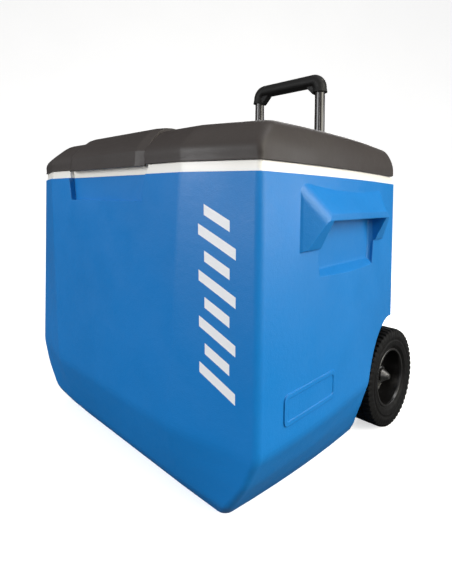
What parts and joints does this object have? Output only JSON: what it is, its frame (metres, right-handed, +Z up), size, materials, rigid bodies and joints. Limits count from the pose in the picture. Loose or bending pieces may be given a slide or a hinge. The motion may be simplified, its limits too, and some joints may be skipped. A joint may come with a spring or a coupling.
{
  "type": "wheeled cooler",
  "caption": "Insulated cool box with a hinged lid, side grips, two rear wheels on a through axle and a sliding tow handle",
  "frame": {"origin": "on the floor, at the middle of the bounding box's bottom", "axes": "+X to the right seen from the front, +Y to the rear where the wheels and tow handle are, +Z up"},
  "size_m": [0.5584, 0.4654, 0.596],
  "materials": {
    "blue_plastic": "fine stippled semi-matt",
    "foam": "matt closed-cell foam",
    "white_plastic": "smooth satin",
    "charcoal_plastic": "fine grained satin",
    "steel": "zinc plated",
    "bright_metal": "bright plated",
    "dark_tube": "gloss painted",
    "black_plastic": "satin moulded",
    "black_grip": "matt grained",
    "black_gloss": "gloss moulded",
    "bush_plastic": "plain bearing plastic",
    "tyre": "matt moulded tread"
  },
  "bodies": {
    "cooler_body": {"outer_shell": "blue_plastic", "insulation_foam": "foam", "inner_liner": "white_plastic", "wheel_axle": "steel", "axle_saddle_left": "black_plastic", "axle_saddle_right": "black_plastic", "saddle_screws": "steel", "axle_washers": "steel", "axle_cap_left": "bright_metal", "axle_cap_right": "bright_metal", "hinge_bracket_left": "charcoal_plastic", "hinge_bracket_right": "charcoal_plastic", "hinge_screws": "steel", "guide_tube_left": "dark_tube", "guide_tube_right": "dark_tube", "upper_guide_block": "black_plastic", "lower_guide_block": "black_plastic", "guide_screws": "steel"},
    "lid": {"lid_shell": "charcoal_plastic", "lid_foam": "foam", "lid_liner": "white_plastic", "hinge_pin_left": "steel", "hinge_pin_right": "steel"},
    "tow_handle": {"handle_tube_left": "dark_tube", "handle_tube_right": "dark_tube", "handle_grip": "black_grip", "grip_screws": "steel", "end_stop_left": "black_plastic", "end_stop_right": "black_plastic"},
    "wheel_left": {"tyre_left": "tyre", "wheel_rim_left": "black_gloss", "wheel_bush_left": "bush_plastic"},
    "wheel_right": {"tyre_right": "tyre", "wheel_rim_right": "black_gloss", "wheel_bush_right": "bush_plastic"}
  },
  "joints": [
    {"name": "lid_hinge", "type": "hinge", "parent": "cooler_body", "child": "lid", "pos_m": [0, 0.16, 0.4352], "axis": [-1, 0, 0], "range_deg": [0, 80]},
    {"name": "handle_slide", "type": "slide", "parent": "cooler_body", "child": "tow_handle", "axis": [0, 0, 1], "range_m": [-0.15, 0.128]},
    {"name": "wheel_left_spin", "type": "hinge", "parent": "cooler_body", "child": "wheel_left", "pos_m": [-0.2035, 0.1567, 0.076], "axis": [1, 0, 0], "continuous": true},
    {"name": "wheel_right_spin", "type": "hinge", "parent": "cooler_body", "child": "wheel_right", "pos_m": [0.2035, 0.1567, 0.076], "axis": [1, 0, 0], "continuous": true}
  ]
}
